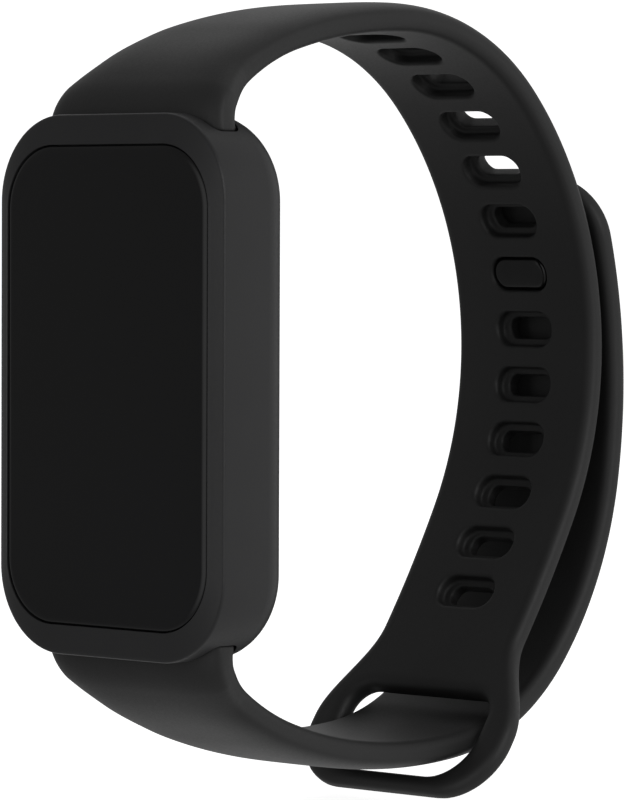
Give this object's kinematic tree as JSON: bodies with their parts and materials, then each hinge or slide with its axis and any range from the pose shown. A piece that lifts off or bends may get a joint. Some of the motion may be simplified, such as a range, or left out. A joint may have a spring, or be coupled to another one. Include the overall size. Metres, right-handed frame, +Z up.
{
  "type": "fitness tracker band",
  "caption": "Slim wrist tracker with a glass front, sensor back and moulded strap that threads a closed loop and fastens by a stud.",
  "frame": {"origin": "middle of the closed band's footprint, level with the lowest point of the strap loop", "axes": "+X across the band, +Y from the screen to the back of the ring, +Z up along the screen"},
  "size_m": [0.0254, 0.0542, 0.0659],
  "materials": {
    "shell": "fine satin black, moulded",
    "strap": "soft matte black elastomer",
    "glass_face": "polished black-backed glass",
    "stud": "glossy black",
    "stiff_plastic": "matte black",
    "seal": "dull black",
    "panel": "dark, switched off",
    "backlight": "white diffuser",
    "flex_film": "amber film",
    "foil": "pouch foil",
    "board": "green solder mask",
    "chip": "moulded epoxy",
    "steel": "bright steel",
    "contact": "gold plated",
    "window": "dark clear polycarbonate",
    "led": "clear over a green die"
  },
  "bodies": {
    "root": {"case_housing": "shell", "back_cover": "shell", "upper_strap": "strap", "lower_strap": "strap", "cover_glass": "glass_face", "inner_frame": "stiff_plastic", "upper_strap_tongue": "stiff_plastic", "lower_strap_tongue": "stiff_plastic", "glass_adhesive": "seal", "back_gasket": "seal", "light_baffle": "seal", "display_connector": "seal", "sensor_connector": "seal", "display_panel": "panel", "display_backlight": "backlight", "display_flex": "flex_film", "battery_flex": "flex_film", "antenna_flex": "flex_film", "battery_cell": "foil", "main_board": "board", "sensor_board": "board", "motor_base": "board", "processor_chip": "chip", "memory_chip": "chip", "motion_sensor_chip": "chip", "photodiode_upper": "chip", "photodiode_lower": "chip", "board_shield": "steel", "board_screw_left": "steel", "board_screw_right": "steel", "motor_cover": "steel", "motor_shaft": "steel", "charging_contact_left": "contact", "charging_contact_right": "contact", "sensor_window": "window", "sensor_led": "led"},
    "tail": {"strap_tail": "strap", "closure_stud": "stud"},
    "upper_release": {"upper_release_button": "stiff_plastic", "upper_strap_clip": "steel"},
    "lower_release": {"lower_release_button": "stiff_plastic", "lower_strap_clip": "steel"},
    "motor_weight": {"motor_rotor": "steel"}
  },
  "joints": [
    {"name": "tail_peel", "type": "hinge", "parent": "root", "child": "tail", "pos_m": [0, 0.0265, 0.02611], "axis": [-1, 0, 0], "range_deg": [0, 60], "stiffness_Nm_per_rad": 0.02},
    {"name": "upper_release_press", "type": "slide", "parent": "root", "child": "upper_release", "axis": [0, -1, 0], "range_m": [0, 0.0007], "stiffness_N_per_m": 1500},
    {"name": "lower_release_press", "type": "slide", "parent": "root", "child": "lower_release", "axis": [0, -1, 0], "range_m": [0, 0.0007], "stiffness_N_per_m": 1500},
    {"name": "motor_spin", "type": "hinge", "parent": "root", "child": "motor_weight", "pos_m": [-0.0057, -0.02274, 0.04628], "axis": [0, 1, 0], "continuous": true}
  ]
}
